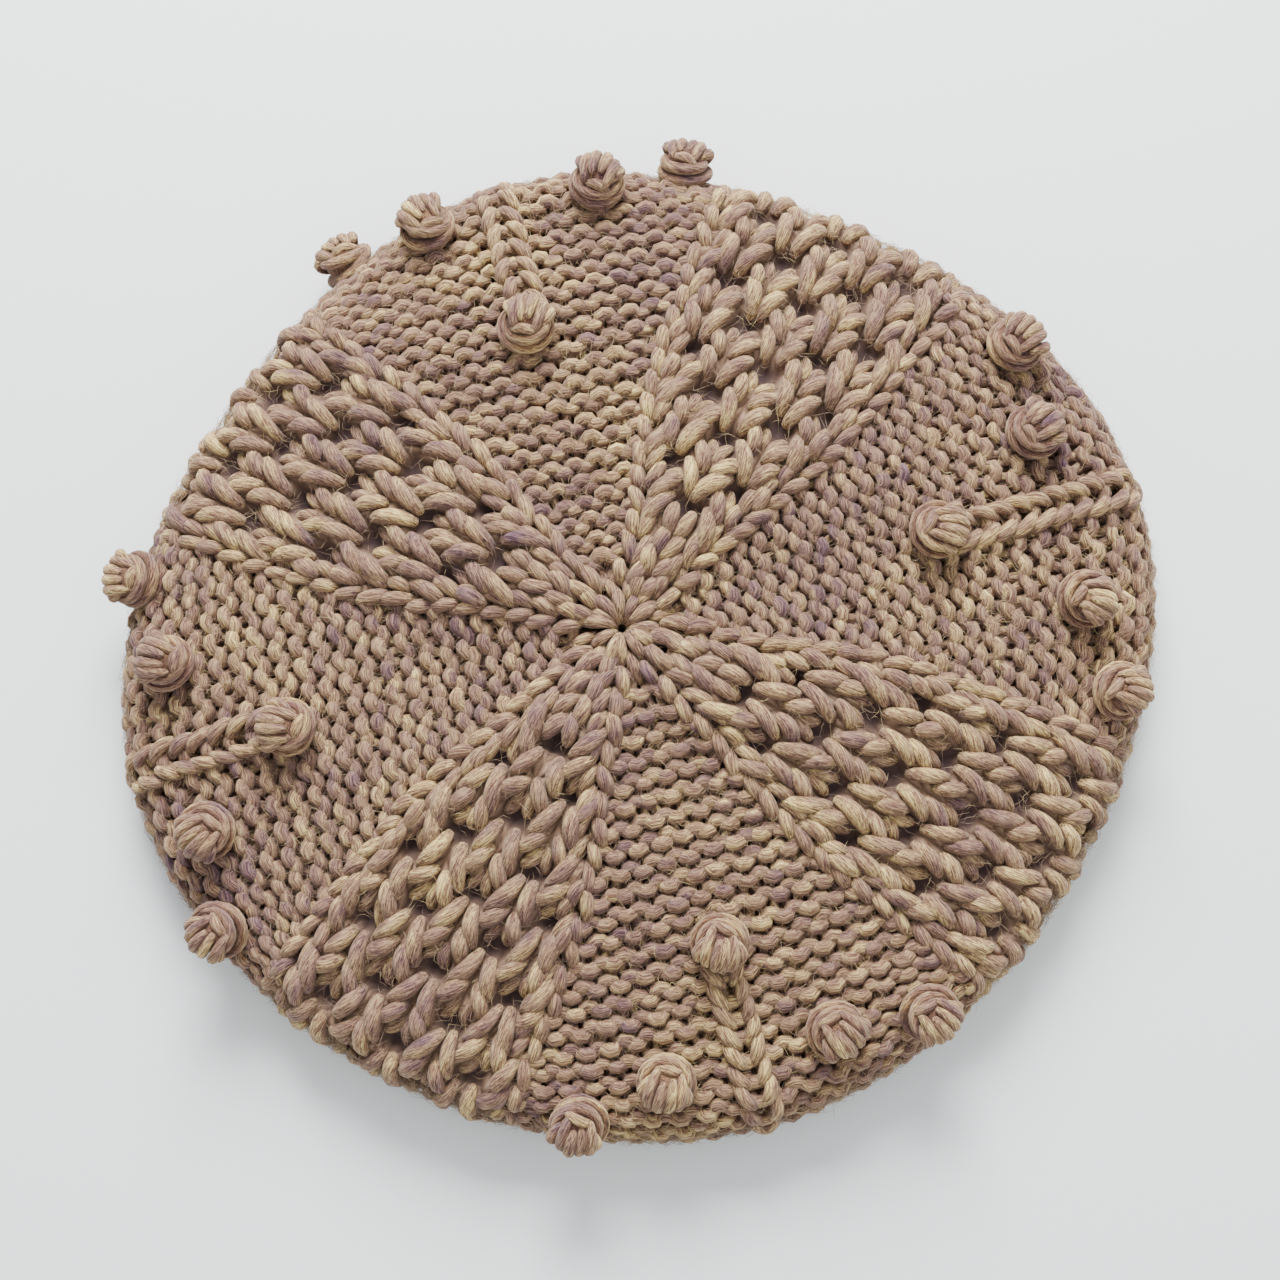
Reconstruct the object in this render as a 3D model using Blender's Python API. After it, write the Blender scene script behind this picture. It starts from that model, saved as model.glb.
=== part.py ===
"""A hand-knitted beret lying flat on its underside, crown up.

The crown is one hollow wall of cloth: a low dome, a rolled rim and a flat underside with the head
opening in its middle. Four raised honeycomb cable panels run from the rim to the gathered middle.
Between them are plain panels, and each of those carries a hairpin stem of two knitted ropes that
ends in a bobble, with four more bobbles along the rim. A ribbed band rings the head opening.
Lengths are in metres, +Z is up, and the origin is the middle of the head opening, on the plane
that the hat rests on. The gathered middle of the crown lies a little to one side of it.
"""

import math

import bmesh
import bpy
from mathutils import Matrix, Vector

# The cloth
HAT_RADIUS = 0.1338  # from the middle to the outside of the cloth at a plain panel's rim
OVAL = 0.004  # how much further that is along the hat's long way, and less across it
OVAL_DEG = 21  # direction of the long way
LEAN = 0.005  # how far the gathered middle lies from the outline's own middle
LEAN_DEG = 181  # direction in which it lies
PANEL_INSET = 0.0061  # how far the cloth is drawn in behind a honeycomb panel, on average
INSET_SWAY = 0.0024  # how much further that is on one side of the hat, and less on the other
INSET_SWAY_DEG = 73  # direction of that side
RIM_RADIUS = 0.011  # outside radius of the rolled rim, half the hat's thickness there
DOME_RISE = 0.009  # the crown's middle above the top of the rim
CLOTH = 0.0045  # thickness of the knitted cloth
GATHER_RELIEF = 0.0022  # how far the honeycomb swells and the plain panels sink near the middle
GATHER_RADIUS = 0.042  # where that swelling is greatest
PUCKER_DEPTH = 0.003  # how far the drawn-in middle sinks
PUCKER_RADIUS = 0.012
PIECE_GAP = 0.0003  # clearance between pieces that lie face to face
CLOTH_GAP = 0.0009  # clearance under a piece that lies over the crown's curved facets

# The layout
PANELS = 4
PLAIN_AXIS_DEG = 16.25  # direction of the first plain panel's axis

# The honeycomb panels
CELL_WIDTH = 0.0212  # two ribs, four stitches
CELL_HEIGHT = 0.0216  # four courses
RIB_SWING = 0.0024  # how far a rib wanders to either side of its own line
RIB_HEIGHT = 0.0046  # the ribs' crest above the plain cloth
CELL_LIP_HEIGHT = 0.0024  # the edge of each cell's hole above the plain cloth
CELL_HOLE_SHARE = 0.5  # size of a cell's hole as a share of the cell
LEAST_OPEN_CELL = 0.55  # a cell that the panel's edge trims below this share has no hole
LEAST_CELL = 0.1  # and one below this share is left out
HONEYCOMB_START = 0.0135  # radius at which the panels come out of the gathered middle
HONEYCOMB_END_DEG = 126  # how far round the rim they reach, from straight up

# The bobbles and their stems
BOBBLE_RADIUS = 0.0081
BOBBLE_HEIGHT = 0.0125
ROPE_RADIUS = 0.0019
STEM_END_DEG = 82  # how far round the rim the hairpin's bend lies
STEM_WIDTH_AT_BOBBLE = 0.0066  # between the ropes' centre lines
STEM_WIDTH_AT_RIM = 0.0046

# The gathered middle
STAR_RADIUS = 0.0105
STAR_HOLE_RADIUS = 0.0014
STAR_PETALS = 12
STAR_HEIGHT = 0.0042
STAR_GROOVE_HEIGHT = 0.0024

# The band
BAND_OUTER_RADIUS = 0.097
OPENING_RADIUS = 0.072
BAND_THICKNESS = 0.0056
BAND_RIBS = 36
RIB_GROOVE_DEPTH = 0.0008

# Fineness of the faceted surfaces
AROUND = 48
RIM_STEPS = 6
INNER_RIM_STEPS = 4
BOBBLE_SIDES = 10
ROPE_SIDES = 6
ROPE_STEPS = 6
BEND_STEPS = 5

# Rings of the crown's top as shares of the shoulder's radius
OUTER_RINGS = (0.06, 0.13, 0.21, 0.31, 0.42, 0.54, 0.66, 0.78, 0.89, 1.0)
INNER_RINGS = (0.15, 0.34, 0.6, 1.0)

# The honeycomb panel's edge: radius and half-width, both as shares of the hat's radius
PANEL_EDGE = (
    {"radius": 0.0, "half_width": 0.03},
    {"radius": 0.144, "half_width": 0.068},
    {"radius": 0.303, "half_width": 0.121},
    {"radius": 0.417, "half_width": 0.166},
    {"radius": 0.553, "half_width": 0.209},
    {"radius": 0.682, "half_width": 0.234},
    {"radius": 0.818, "half_width": 0.252},
    {"radius": 0.924, "half_width": 0.268},
    {"radius": 1.0, "half_width": 0.274},
)

# The bobbles of a plain panel: how far out each sits, measured along the cloth as a share of the
# hat's radius, and its angle from the panel's axis
BOBBLES = (
    {"name": "inner_left", "out": 0.892, "aside_deg": 11.2},
    {"name": "inner_right", "out": 0.892, "aside_deg": -11.2},
    {"name": "outer_left", "out": 0.957, "aside_deg": 21.7},
    {"name": "outer_right", "out": 0.957, "aside_deg": -21.7},
)
STEM_ASIDE_DEG = 0.8  # angle of the stem's bobble from the panel's axis

# Where each plain panel's knitter strayed from that: how far out the stem's bobble sits, and what
# is added to the other bobbles' places
PANEL_ROWS = (
    {"stem_out": 0.643, "more_out": 0.010, "more_aside_deg": -1.6},
    {"stem_out": 0.630, "more_out": 0.013, "more_aside_deg": -2.0},
    {"stem_out": 0.669, "more_out": -0.009, "more_aside_deg": -0.9},
    {"stem_out": 0.632, "more_out": -0.027, "more_aside_deg": 0.5},
)

# A bobble's side, from its neck to its top: height and radius as shares of its own size
BOBBLE_PROFILE = (
    {"height": 0.0, "radius": 0.5},
    {"height": 0.27, "radius": 0.95},
    {"height": 0.6, "radius": 0.98},
    {"height": 0.9, "radius": 0.55},
)

# What follows from the sizes
PANEL_TURN = 2 * math.pi / PANELS
PLAIN_AXIS = math.radians(PLAIN_AXIS_DEG)
HONEYCOMB_AXIS = PLAIN_AXIS + PANEL_TURN / 2
MIDDLE = LEAN * Vector((math.cos(math.radians(LEAN_DEG)), math.sin(math.radians(LEAN_DEG)), 0))


def panel_wave(angle):
    """1 along a honeycomb panel's axis, 0 along a plain panel's."""
    return (1 + math.cos(PANELS * (angle - HONEYCOMB_AXIS))) / 2


def shoulder(angle):
    """Where the rim starts in a direction: its arc's centre, its first tilt and its distance out.

    The outline is a circle with an oval wave, a lean away from the gathered middle, and a dip
    behind each honeycomb panel. The tilt is the slope of a parabola that rises by DOME_RISE.
    """
    oval = OVAL * math.cos(2 * (angle - math.radians(OVAL_DEG)))
    lean = LEAN * math.cos(angle - math.radians(LEAN_DEG))
    sway = INSET_SWAY * math.cos(angle - math.radians(INSET_SWAY_DEG))
    inset = (PANEL_INSET + sway) * panel_wave(angle)
    centre = HAT_RADIUS - RIM_RADIUS + oval - lean - inset
    tilt = math.atan(2 * DOME_RISE / centre)
    return centre, tilt, centre + RIM_RADIUS * math.sin(tilt)


def profile(out, angle):
    """The crown's outer line at a distance out along the cloth: radius, height and normal.

    A parabola runs to the shoulder, and an arc runs round the rim from there.
    """
    centre, tilt, start = shoulder(angle)
    if out <= start:
        share = out / start
        rise = math.tan(tilt) * start / 2
        height = RIM_RADIUS * (1 + math.cos(tilt)) + rise * (1 - share * share)
        tilt = math.atan(math.tan(tilt) * share)
        radius = out
    else:
        tilt = min(tilt + (out - start) / RIM_RADIUS, math.pi)
        radius = centre + RIM_RADIUS * math.sin(tilt)
        height = RIM_RADIUS * (1 + math.cos(tilt))
    return radius, height, (math.sin(tilt), math.cos(tilt))


def rim_distance(degrees, angle):
    """Distance along the cloth to a direction on the rim, measured from straight up."""
    centre, tilt, start = shoulder(angle)
    return start + RIM_RADIUS * (math.radians(degrees) - tilt)


def relief(out, angle):
    """The height that the gathers add: a wave round the hat that dies away outwards, less a pit."""
    reach = out / GATHER_RADIUS
    swell = reach * reach * math.exp(1 - reach * reach)
    pit = math.exp(-((out / PUCKER_RADIUS) ** 2))
    return GATHER_RELIEF * swell * (2 * panel_wave(angle) - 1) - PUCKER_DEPTH * pit


def cloth_point(out, angle, lift=0.0):
    """A point of the crown's outside, lifted square off it."""
    radius, height, normal = profile(out, angle)
    radius += lift * normal[0]
    height += lift * normal[1] + relief(out, angle)
    return MIDDLE + Vector((radius * math.cos(angle), radius * math.sin(angle), height))


def beside_axis(across, out, axis, lift=0.0):
    """A cloth point given by its distance across from a panel's axis, along the course."""
    return cloth_point(out, axis + across / profile(out, axis)[0], lift)


def between(rows, key, value, at):
    """Straight-line reading of a table's value column at a place in its key column."""
    for low, high in zip(rows, rows[1:]):
        if at <= high[key]:
            share = (at - low[key]) / (high[key] - low[key])
            return low[value] + (high[value] - low[value]) * share
    return rows[-1][value]


def material(name, colour, roughness):
    """A matt yarn finish."""
    made = bpy.data.materials.new(name)
    made.use_nodes = True
    shader = made.node_tree.nodes["Principled BSDF"]
    shader.inputs["Base Color"].default_value = (*colour, 1.0)
    shader.inputs["Roughness"].default_value = roughness
    shader.inputs["Metallic"].default_value = 0.0
    return made


def mesh_of(name, points, faces):
    """A mesh of these points and faces, shaded smooth apart from its sharp edges."""
    mesh = bpy.data.meshes.new(name)
    work = bmesh.new()
    corners = [work.verts.new(point) for point in points]
    for face in faces:
        work.faces.new([corners[index] for index in face])
    bmesh.ops.recalc_face_normals(work, faces=work.faces)
    if work.calc_volume(signed=True) < 0:
        bmesh.ops.reverse_faces(work, faces=work.faces)
    work.to_mesh(mesh)
    work.free()
    mesh.shade_smooth()
    mesh.set_sharp_from_angle(angle=math.radians(50))
    return mesh


def place(name, mesh, finish, parent, matrix=None):
    """An object of this mesh under the hat's empty."""
    made = bpy.data.objects.new(name, mesh)
    bpy.context.scene.collection.objects.link(made)
    if not mesh.materials:
        mesh.materials.append(finish)
    made.parent = parent
    if matrix is not None:
        made.matrix_local = matrix
    return made


def ringed(rings, closed_start, closed_end):
    """Points and faces of a tube through equal rings; an end is closed by a point or left open."""
    points = [point for ring in rings for point in ring]
    count = len(rings[0])
    faces = []
    for row in range(len(rings) - 1):
        for step in range(count):
            here, there = row * count + step, row * count + (step + 1) % count
            faces.append((here, there, there + count, here + count))
    for closed, row in ((closed_start, 0), (closed_end, len(rings) - 1)):
        if closed is None:
            continue
        points.append(closed)
        for step in range(count):
            faces.append((row * count + step, row * count + (step + 1) % count, len(points) - 1))
    return points, faces


def closed_ring(rings):
    """Points and faces of a ring whose section runs through these rings and back to the first."""
    points, faces = ringed(rings + [rings[0]], None, None)
    total = len(rings) * len(rings[0])
    return points[:total], [tuple(index % total for index in face) for face in faces]


def crown_mesh():
    """The hollow wall: outside from the middle to the underside's edge, then back along the inside."""
    angles = [PLAIN_AXIS + 2 * math.pi * step / AROUND for step in range(AROUND)]
    rings = [[cloth_point(share * shoulder(a)[2], a) for a in angles] for share in OUTER_RINGS]

    def rim_ring(step, steps, lift):
        return [cloth_point(rim_part(step / steps, a), a, lift) for a in angles]

    def rim_part(share, angle):
        centre, tilt, start = shoulder(angle)
        return start + RIM_RADIUS * (math.pi - tilt) * share

    rings += [rim_ring(step, RIM_STEPS, 0.0) for step in range(1, RIM_STEPS + 1)]
    edge = BAND_OUTER_RADIUS + PIECE_GAP
    for height in (0.0, CLOTH):
        rings.append([Vector((edge * math.cos(a), edge * math.sin(a), height)) for a in angles])
    rings += [rim_ring(step, INNER_RIM_STEPS, -CLOTH) for step in range(INNER_RIM_STEPS, 0, -1)]
    for share in reversed(INNER_RINGS):
        rings.append([cloth_point(share * shoulder(a)[2], a, -CLOTH) for a in angles])
    return mesh_of("crown", *ringed(rings, cloth_point(0, 0), cloth_point(0, 0, -CLOTH)))


def simple_loops(loop):
    """A loop of corners split where it touches itself, without its flat or empty parts."""
    tidy = [corner for i, corner in enumerate(loop) if corner != loop[i - 1]]
    for i, corner in enumerate(tidy):
        if corner in tidy[i + 1 :]:
            j = tidy.index(corner, i + 1)
            return simple_loops(tidy[i:j]) + simple_loops(tidy[j:] + tidy[:i])
    return [tidy] if len(tidy) > 2 else []


def area(loop):
    """The area inside a loop of (across, out) corners."""
    pairs = zip(loop, loop[1:] + loop[:1])
    return abs(sum(a[0] * b[1] - b[0] * a[1] for a, b in pairs)) / 2


def honeycomb_cells(axis):
    """A panel's cells as loops of (across, out) corners, trimmed at the panel's slanting edges.

    Ribs wander left and right in turn, so a cell opens between two ribs wherever they part, and
    the next two cells lie half a cell up and to either side of it.
    """
    rib_pitch = CELL_WIDTH / 2
    course_pair = CELL_HEIGHT / 2
    end = rim_distance(HONEYCOMB_END_DEG, axis)
    levels = max(2, round((end - HONEYCOMB_START) / course_pair))
    step = (end - HONEYCOMB_START) / levels
    widest = PANEL_EDGE[-1]["half_width"] * HAT_RADIUS
    ribs_a_side = math.ceil((widest + RIB_SWING) / rib_pitch) + 1

    def corner(rib, level):
        out = HONEYCOMB_START + step * level
        limit = between(PANEL_EDGE, "radius", "half_width", out / HAT_RADIUS) * HAT_RADIUS
        lean = math.cos(math.pi * (rib + level))
        across = (rib + 0.5) * rib_pitch + RIB_SWING * lean
        across = max(-limit, min(limit, across))
        return round(across, 7), round(out, 7)

    def side(rib, levels_passed):
        corners = []
        for low, high in zip(levels_passed, levels_passed[1:]):
            corners.append(corner(rib, low))
            if HONEYCOMB_START + step * high > shoulder(axis)[2]:
                ends = corner(rib, low), corner(rib, high)
                corners.append(tuple(round((a + b) / 2, 7) for a, b in zip(*ends)))
        return corners + [corner(rib, levels_passed[-1])]

    cells = []
    for rib in range(-ribs_a_side, ribs_a_side):
        for level in range(levels + 1):
            if (rib + level) % 2 == 0:
                continue
            passed = [n for n in (level - 1, level, level + 1) if 0 <= n <= levels]
            loop = side(rib + 1, passed) + side(rib, passed)[::-1]
            cells += simple_loops(loop)
    return cells


def honeycomb_mesh(axis):
    """A net of ribs: each cell slopes from the ribs' crest down to the edge of its hole."""
    points, faces, numbers = [], [], {}

    def number(across, out, lift):
        key = (across, out, lift)
        if key not in numbers:
            numbers[key] = len(points)
            points.append(beside_axis(across, out, axis, lift))
        return numbers[key]

    full = CELL_WIDTH * CELL_HEIGHT / 2
    rims = {}
    for cell in honeycomb_cells(axis):
        if area(cell) < LEAST_CELL * full:
            continue
        count = len(cell)
        middle = tuple(sum(c[i] for c in cell) / count for i in (0, 1))
        crest = [number(*c, RIB_HEIGHT) for c in cell]
        foot = [number(*c, CLOTH_GAP) for c in cell]
        pairs = [(i, (i + 1) % count) for i in range(count)]
        if area(cell) >= LEAST_OPEN_CELL * full:
            hole = [tuple(m + (v - m) * CELL_HOLE_SHARE for v, m in zip(c, middle)) for c in cell]
            lip = [number(*c, CELL_LIP_HEIGHT) for c in hole]
            base = [number(*c, CLOTH_GAP) for c in hole]
            for i, j in pairs:
                faces.append((crest[i], crest[j], lip[j], lip[i]))
                faces.append((lip[i], lip[j], base[j], base[i]))
                faces.append((base[i], base[j], foot[j], foot[i]))
        else:
            top = number(*middle, (RIB_HEIGHT + CELL_LIP_HEIGHT) / 2)
            below = number(*middle, CLOTH_GAP)
            for i, j in pairs:
                faces.append((crest[i], crest[j], top))
                faces.append((foot[j], foot[i], below))
        for i, j in pairs:
            edge = frozenset((crest[i], crest[j]))
            rims.setdefault(edge, []).append((crest[i], crest[j], foot[j], foot[i]))
    faces += [walls[0] for walls in rims.values() if len(walls) == 1]
    return mesh_of("honeycomb", points, faces)


def bobble_mesh():
    """A knitted ball with a narrow foot, standing on its own origin."""
    turn = [2 * math.pi * step / BOBBLE_SIDES for step in range(BOBBLE_SIDES)]
    rings = []
    for row in BOBBLE_PROFILE:
        radius, height = row["radius"] * BOBBLE_RADIUS, row["height"] * BOBBLE_HEIGHT
        rings.append([Vector((radius * math.cos(a), radius * math.sin(a), height)) for a in turn])
    return mesh_of("bobble", *ringed(rings, Vector((0, 0, 0)), Vector((0, 0, BOBBLE_HEIGHT))))


def bobble_places(panel):
    """The bobbles of a plain panel: name, distance out along the cloth and angle."""
    row = PANEL_ROWS[panel]
    axis = PLAIN_AXIS + panel * PANEL_TURN
    yield "stem", row["stem_out"] * HAT_RADIUS, axis + math.radians(STEM_ASIDE_DEG)
    for bobble in BOBBLES:
        aside = bobble["aside_deg"] + row["more_aside_deg"]
        yield bobble["name"], (bobble["out"] + row["more_out"]) * HAT_RADIUS, axis + math.radians(aside)


def bobble_matrix(out, angle):
    """A bobble's place: its foot on the cloth and its height along the cloth's normal."""
    normal = profile(out, angle)[2]
    tilt = math.atan2(normal[0], normal[1])
    turn = Matrix.Rotation(angle, 4, "Z") @ Matrix.Rotation(tilt, 4, "Y")
    return Matrix.Translation(cloth_point(out, angle, PIECE_GAP)) @ turn


def stem_mesh(panel):
    """A hairpin of rope: out from the bobble, round a bend on the rim and back."""
    axis = PLAIN_AXIS + panel * PANEL_TURN
    start = PANEL_ROWS[panel]["stem_out"] * HAT_RADIUS + BOBBLE_RADIUS + PIECE_GAP
    wide, narrow = STEM_WIDTH_AT_BOBBLE / 2, STEM_WIDTH_AT_RIM / 2
    end = rim_distance(STEM_END_DEG, axis) - narrow
    shares = [step / ROPE_STEPS for step in range(ROPE_STEPS + 1)]
    leg = [(wide + (narrow - wide) * share, start + (end - start) * share) for share in shares]
    bends = [math.pi * step / (BEND_STEPS + 1) for step in range(1, BEND_STEPS + 1)]
    bend = [(narrow * math.cos(a), end + narrow * math.sin(a)) for a in bends]
    route = leg + bend + [(-across, out) for across, out in reversed(leg)]
    lift = ROPE_RADIUS + CLOTH_GAP
    line = [beside_axis(across, out, axis, lift) for across, out in route]
    turn = [2 * math.pi * step / ROPE_SIDES for step in range(ROPE_SIDES)]
    rings = []
    for i, point in enumerate(line):
        ahead = (line[min(i + 1, len(line) - 1)] - line[max(i - 1, 0)]).normalized()
        above = beside_axis(*route[i], axis, 2 * lift) - point
        side = ahead.cross(above).normalized()
        up = side.cross(ahead)
        rings.append([point + ROPE_RADIUS * (math.cos(a) * side + math.sin(a) * up) for a in turn])
    return mesh_of("stem", *ringed(rings, line[0], line[-1]))


def star_mesh():
    """The drawn-in middle: petals of yarn round a small hole."""
    count = 2 * STAR_PETALS
    lifts = [STAR_HEIGHT if step % 2 == 0 else STAR_GROOVE_HEIGHT for step in range(count)]
    angles = [2 * math.pi * step / count for step in range(count)]
    middle = (STAR_HOLE_RADIUS + STAR_RADIUS) / 2
    ends = min(lifts) * 0.7
    rings = [[cloth_point(STAR_HOLE_RADIUS, a, ends) for a in angles]]
    rings.append([cloth_point(middle, a, lift) for a, lift in zip(angles, lifts)])
    rings.append([cloth_point(STAR_RADIUS, a, ends) for a in angles])
    rings.append([cloth_point(STAR_RADIUS, a, CLOTH_GAP) for a in angles])
    rings.append([cloth_point(STAR_HOLE_RADIUS, a, CLOTH_GAP) for a in angles])
    return mesh_of("centre_star", *closed_ring(rings))


def band_mesh():
    """The ribbed band: a flat ring whose ribs run inwards, with a rounded inner edge."""
    count = 2 * BAND_RIBS
    angles = [2 * math.pi * step / count for step in range(count)]
    grooves = [RIB_GROOVE_DEPTH * (step % 2) for step in range(count)]
    rounding = BAND_THICKNESS / 4
    section = (
        {"radius": BAND_OUTER_RADIUS, "height": 0.0, "groove": 1},
        {"radius": OPENING_RADIUS + rounding, "height": 0.0, "groove": 1},
        {"radius": OPENING_RADIUS, "height": BAND_THICKNESS / 2, "groove": 0},
        {"radius": OPENING_RADIUS + rounding, "height": BAND_THICKNESS, "groove": -1},
        {"radius": BAND_OUTER_RADIUS, "height": BAND_THICKNESS, "groove": -1},
    )
    rings = []
    for row in section:
        radius = row["radius"]
        heights = [row["height"] + row["groove"] * groove for groove in grooves]
        turned = zip(angles, heights)
        rings.append([Vector((radius * math.cos(a), radius * math.sin(a), z)) for a, z in turned])
    return mesh_of("band", *closed_ring(rings))


def build():
    """Every piece of the hat, under one empty on its axis."""
    for old in list(bpy.data.objects):
        bpy.data.objects.remove(old, do_unlink=True)
    hat = bpy.data.objects.new("hat", None)
    bpy.context.scene.collection.objects.link(hat)
    ground = material("plain_knit", (0.36, 0.25, 0.19), 0.9)
    cable = material("cable_knit", (0.44, 0.32, 0.22), 0.88)
    ball = material("bobble_knit", (0.40, 0.28, 0.20), 0.9)
    ribbing = material("rib_knit", (0.34, 0.24, 0.19), 0.9)

    place("crown", crown_mesh(), ground, hat)
    place("band", band_mesh(), ribbing, hat)
    place("centre_star", star_mesh(), cable, hat)
    bobble = bobble_mesh()
    for panel in range(PANELS):
        mesh = honeycomb_mesh(HONEYCOMB_AXIS + panel * PANEL_TURN)
        place(f"honeycomb_{panel + 1}", mesh, cable, hat)
        place(f"stem_{panel + 1}", stem_mesh(panel), ball, hat)
        for name, out, angle in bobble_places(panel):
            place(f"bobble_{panel + 1}_{name}", bobble, ball, hat, bobble_matrix(out, angle))


build()
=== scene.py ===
"""A hand-knitted wool beret lying on its underside, every stitch laid as yarn.

The crown's surface is one function of a distance out along the cloth and an angle round the hat.
Yarn runs through that surface as smooth curves worked out by formula, and a tube is carried along
each curve. Lengths are in metres; MM turns millimetres into them.
"""

import math

import bpy
import numpy as np
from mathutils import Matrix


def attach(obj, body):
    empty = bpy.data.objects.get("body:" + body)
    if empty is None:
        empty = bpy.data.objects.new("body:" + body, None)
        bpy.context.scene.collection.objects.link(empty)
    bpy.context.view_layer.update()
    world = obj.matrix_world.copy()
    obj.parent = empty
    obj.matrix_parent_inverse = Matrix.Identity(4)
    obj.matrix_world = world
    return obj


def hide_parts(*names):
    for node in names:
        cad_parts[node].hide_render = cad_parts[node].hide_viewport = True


MM = 0.001

# The crown's surface, as the frame has it
HAT_RADIUS = 133.8 * MM
OVAL = 4 * MM
OVAL_DEG = 21
LEAN = 5 * MM
LEAN_DEG = 181
PANEL_INSET = 6.1 * MM
INSET_SWAY = 2.4 * MM
INSET_SWAY_DEG = 73
RIM_RADIUS = 11 * MM
DOME_RISE = 9 * MM
GATHER_RELIEF = 2.2 * MM
GATHER_RADIUS = 42 * MM
PUCKER_DEPTH = 3 * MM
PUCKER_RADIUS = 12 * MM
PANELS = 4
PLAIN_AXIS = math.radians(16.25)
HONEYCOMB_AXIS = PLAIN_AXIS + math.pi / PANELS
MIDDLE = LEAN * np.array([math.cos(math.radians(LEAN_DEG)), math.sin(math.radians(LEAN_DEG)), 0])
BAND_OUTER_RADIUS = 97 * MM
OPENING_RADIUS = 72 * MM
BAND_THICKNESS = 5.6 * MM

# Half-width of a honeycomb panel at each distance out along the cloth
PANEL_EDGE_OUT = np.array([0, 19, 40, 55, 73, 90, 108, 122, 132]) * MM
PANEL_EDGE_HALF = np.array([4, 9, 16, 22, 27.6, 31, 33.3, 35.5, 36.2]) * MM
HONEYCOMB_START = 13.5 * MM
HONEYCOMB_END_DEG = 126
RAISED_EDGE = (-5 * MM, -1 * MM)  # past the panel's edge, where its relief dies away
RAISED_START = (20 * MM, 34 * MM)  # out from the middle, where its relief grows

# The yarn and its gauge
YARN = 1.5 * MM  # radius of the softly spun wool
THICK_YARN = 1.68 * MM  # where a cable's loose stitches let it spring open
FIBRE_TURN = 0.16  # radians that the fibres turn round the yarn in a millimetre
STITCH = 6.9 * MM  # across a plain stitch
COURSE = 5.3 * MM  # from one plain course to the next
CLOTH_DEPTH = -1.3 * MM  # the plain cloth's middle, below the crown's surface
YARN_FLAT = 0.92  # a yarn's section, height by width
END_REACH = 0.6  # how far a tube's closed end stands out, as a share of its radius
SKEIN = 400 * MM  # a tube's pattern of fibres starts somewhere in this length of yarn
YARN_SIDES = 8
HIDDEN_SIDES = 6  # under the hat

ROUND_TURN = 2 * math.pi
random = np.random.default_rng(11)


def rounded(low, high, at):
    """0 below low, 1 above high, and a smooth S between."""
    share = np.clip((at - low) / (high - low), 0, 1)
    return share * share * (3 - 2 * share)


def panel_wave(angle):
    """1 along a honeycomb panel's axis, 0 along a plain panel's."""
    return (1 + np.cos(PANELS * (angle - HONEYCOMB_AXIS))) / 2


def shoulder(angle):
    """The rim's arc in a direction: its centre's radius, its first tilt and where it starts.

    A circle with an oval wave, a lean away from the gathered middle and a dip at each honeycomb.
    """
    oval = OVAL * np.cos(2 * (angle - math.radians(OVAL_DEG)))
    lean = LEAN * np.cos(angle - math.radians(LEAN_DEG))
    sway = INSET_SWAY * np.cos(angle - math.radians(INSET_SWAY_DEG))
    centre = HAT_RADIUS - RIM_RADIUS + oval - lean - (PANEL_INSET + sway) * panel_wave(angle)
    tilt = np.arctan(2 * DOME_RISE / centre)
    return centre, tilt, centre + RIM_RADIUS * np.sin(tilt)


def rim_distance(degrees, angle):
    """Distance out along the cloth to a direction on the rim, measured from straight up."""
    _, tilt, start = shoulder(angle)
    return start + RIM_RADIUS * (np.radians(degrees) - tilt)


def cloth(out, angle, lift=0.0):
    """Points and outward normals of the crown, lifted square off it.

    A parabola runs out to the shoulder, an arc runs round the rim, and past it the cloth runs flat
    towards the head opening. Gathers add a wave that dies away outwards, less a pit in the middle.
    """
    out, angle, lift = np.broadcast_arrays(out, angle, lift)
    centre, first_tilt, start = shoulder(angle)
    share = np.minimum(out / start, 1)
    rise = np.tan(first_tilt) * start / 2
    round_rim = np.clip(first_tilt + (out - start) / RIM_RADIUS, first_tilt, math.pi)
    under = np.maximum(out - start - RIM_RADIUS * (math.pi - first_tilt), 0)
    tilt = np.where(out <= start, np.arctan(np.tan(first_tilt) * share), round_rim)
    radius = np.where(out <= start, out, centre + RIM_RADIUS * np.sin(tilt) - under)
    top = RIM_RADIUS * (1 + np.cos(first_tilt)) + rise * (1 - share * share)
    height = np.where(out <= start, top, RIM_RADIUS * (1 + np.cos(tilt)))
    reach = out / GATHER_RADIUS
    swell = reach * reach * np.exp(1 - reach * reach)
    pit = np.exp(-((out / PUCKER_RADIUS) ** 2))
    height = height + GATHER_RELIEF * swell * (2 * panel_wave(angle) - 1) - PUCKER_DEPTH * pit
    normal = np.stack([np.sin(tilt) * np.cos(angle), np.sin(tilt) * np.sin(angle), np.cos(tilt)], -1)
    point = np.stack([radius * np.cos(angle), radius * np.sin(angle), height], -1)
    return point + MIDDLE + lift[..., None] * normal, normal


def radius_at(out, axis):
    """How far from the crown's middle the cloth is, at a distance out along it."""
    point, _ = cloth(out, axis)
    return np.hypot(*np.moveaxis((point - MIDDLE)[..., :2], -1, 0))


def panel_half_width(out):
    """A honeycomb panel's half-width."""
    return np.interp(out, PANEL_EDGE_OUT, PANEL_EDGE_HALF)


def beside_axis(across, out, axis, lift=0.0):
    """Cloth points and normals by distance across from a panel's axis."""
    return cloth(out, axis + across / np.maximum(radius_at(out, axis), MM), lift)


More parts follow.
